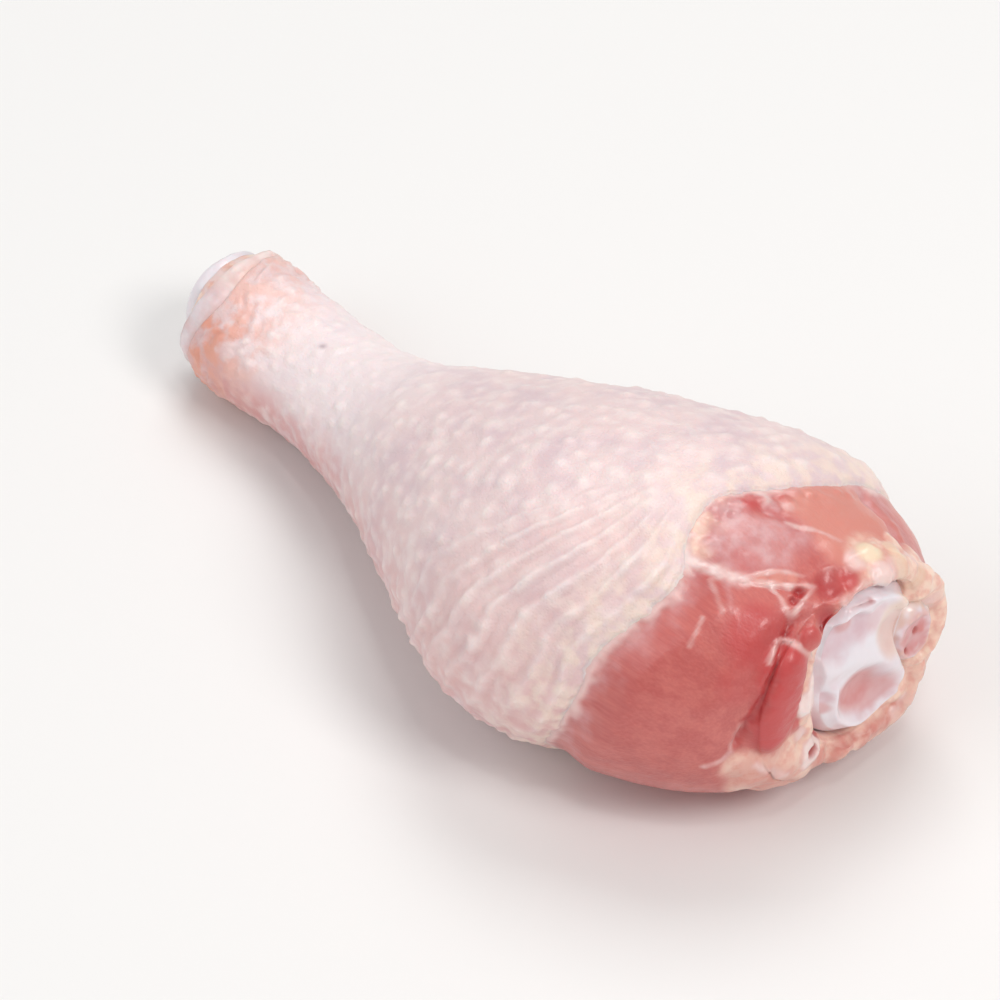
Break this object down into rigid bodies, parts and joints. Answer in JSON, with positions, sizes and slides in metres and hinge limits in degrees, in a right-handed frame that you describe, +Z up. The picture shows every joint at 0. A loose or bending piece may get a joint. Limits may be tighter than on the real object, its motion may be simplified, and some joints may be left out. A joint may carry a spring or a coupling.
{
  "type": "chicken drumstick",
  "caption": "Raw skin-on chicken drumstick lying on its side: a sleeve of skin cut back at the knee over bare muscle, with the shin bone's gristle-capped ends showing",
  "frame": {"origin": "on the surface that the drumstick lies on, under the middle of its bounding box", "axes": "+Z up; +X along the leg from the hock to the knee; +Y to the front of the leg, -Y to the calf"},
  "size_m": [0.127, 0.0628, 0.0447],
  "materials": {
    "skin": "moist, bumpy pale pink skin",
    "flesh": "wet dark pink muscle with pale fat and fascia",
    "bone": "glossy bluish white gristle over pink bone ends",
    "kneecap": "glossy pink gristle"
  },
  "bodies": {
    "root": {"skin": "skin", "flesh": "flesh", "shin_bone": "bone", "kneecap": "kneecap"}
  },
  "joints": []
}
